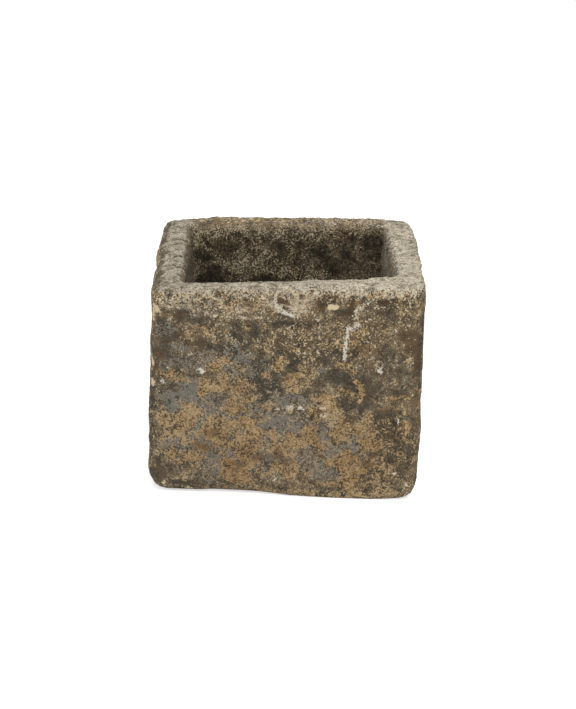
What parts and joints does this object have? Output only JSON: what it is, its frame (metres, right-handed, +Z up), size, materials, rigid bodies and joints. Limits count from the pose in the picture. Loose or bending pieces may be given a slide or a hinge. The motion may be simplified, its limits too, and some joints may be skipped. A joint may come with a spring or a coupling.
{
  "type": "limestone trough",
  "caption": "Square garden trough hollowed by hand from one block of weathered limestone, open at the top, with a thick uneven rim, rounded arrises and a flat base.",
  "frame": {"origin": "middle of the box round the block, on its flat base", "axes": "+Z up, out of the cavity; -Y is the front, the face towards the camera in the picture; +X is to that face's right"},
  "size_m": [0.438, 0.4237, 0.3551],
  "materials": {
    "weathered_limestone": "hand-cut limestone, weathered outdoors: matt and finely pitted, mottled cream, ochre, slate grey and near black by lichen and soot, palest on the worn rim"
  },
  "bodies": {
    "root": {"trough_body": "weathered_limestone"}
  },
  "joints": []
}
